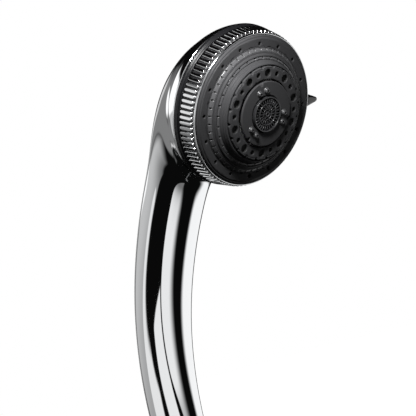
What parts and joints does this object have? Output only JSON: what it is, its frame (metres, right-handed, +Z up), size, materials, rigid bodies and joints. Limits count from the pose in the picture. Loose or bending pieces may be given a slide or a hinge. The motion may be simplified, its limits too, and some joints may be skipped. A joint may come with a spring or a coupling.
{
  "type": "handheld shower head",
  "caption": "Handheld shower head with a bowed round handle, a ribbed turning selector ring with a small lever, and a stepped spray face with ringed outlets.",
  "frame": {"origin": "centre of the threaded inlet's end face", "axes": "+Z up the inlet into the handle, YZ the plane of symmetry, the spray face towards -Y and down, the selector lever on +X"},
  "size_m": [0.0911, 0.1538, 0.2202],
  "materials": {
    "chrome_shell": "bright chrome plating on moulded plastic",
    "chrome_ring": "bright chrome plating on moulded ribs",
    "bezel_black": "black, glossy",
    "lever_dark": "dark grey, satin gloss",
    "face_dark": "dark grey, fine satin moulding",
    "needle_ring": "dark grey, slightly brighter",
    "nozzle_rubber": "dark grey silicone",
    "grille_dark": "near black, satin gloss",
    "inlet_brass": "chromed brass thread",
    "inner_plastic": "natural white moulding",
    "seal_rubber": "black nitrile",
    "steel": "stainless steel",
    "acetal": "white acetal"
  },
  "bodies": {
    "housing": {"handle_shell": "chrome_shell", "foot_sleeve": "inner_plastic", "mount_ring": "inner_plastic", "inlet_nipple": "inlet_brass", "inlet_stem": "inlet_brass", "nipple_oring": "seal_rubber", "inlet_screen": "steel", "flow_restrictor": "acetal", "check_valve_cage": "acetal", "check_spring": "steel", "water_tube": "inner_plastic", "tube_oring_lower": "seal_rubber", "tube_oring_upper": "seal_rubber", "head_core": "inner_plastic", "core_screws": "steel", "core_oring": "seal_rubber", "seal_spring": "steel", "detent_spring": "steel", "pivot_screw": "steel", "pivot_washer": "steel", "bezel_ring": "bezel_black"},
    "valve": {"check_poppet": "acetal"},
    "seal": {"seal_cup": "seal_rubber"},
    "detent": {"detent_pin": "acetal"},
    "selector": {"ribbed_ring": "chrome_ring", "selector_lever": "lever_dark", "spray_plate": "face_dark", "needle_ring_outer": "needle_ring", "needle_ring_inner": "needle_ring", "nozzle_mat": "nozzle_rubber", "jet_ring": "face_dark", "centre_disc": "face_dark", "dome_nozzles": "nozzle_rubber", "aerator_grille": "grille_dark", "mode_plate": "inner_plastic", "face_screws": "steel", "swirl_plate": "inner_plastic"},
    "rotor": {"pulse_rotor": "acetal"}
  },
  "joints": [
    {"name": "selector_turn", "type": "hinge", "parent": "housing", "child": "selector", "pos_m": [0, -0.12161, 0.17502], "axis": [0, -0.8829, -0.4695], "range_deg": [-90, 90]},
    {"name": "rotor_spin", "type": "hinge", "parent": "selector", "child": "rotor", "pos_m": [0, -0.12161, 0.17502], "axis": [0, -0.8829, -0.4695], "continuous": true},
    {"name": "poppet_lift", "type": "slide", "parent": "housing", "child": "valve", "axis": [0, 0, 1], "range_m": [0, 0.0025], "stiffness_N_per_m": 120, "deforming": ["check_spring"]},
    {"name": "seal_press", "type": "slide", "parent": "housing", "child": "seal", "axis": [0, -0.8829, -0.4695], "range_m": [-0.0005, 0], "stiffness_N_per_m": 500, "deforming": ["seal_spring"]},
    {"name": "detent_click", "type": "slide", "parent": "housing", "child": "detent", "axis": [0, -0.8829, -0.4695], "range_m": [0, 0.0005], "stiffness_N_per_m": 400, "deforming": ["detent_spring"]}
  ]
}
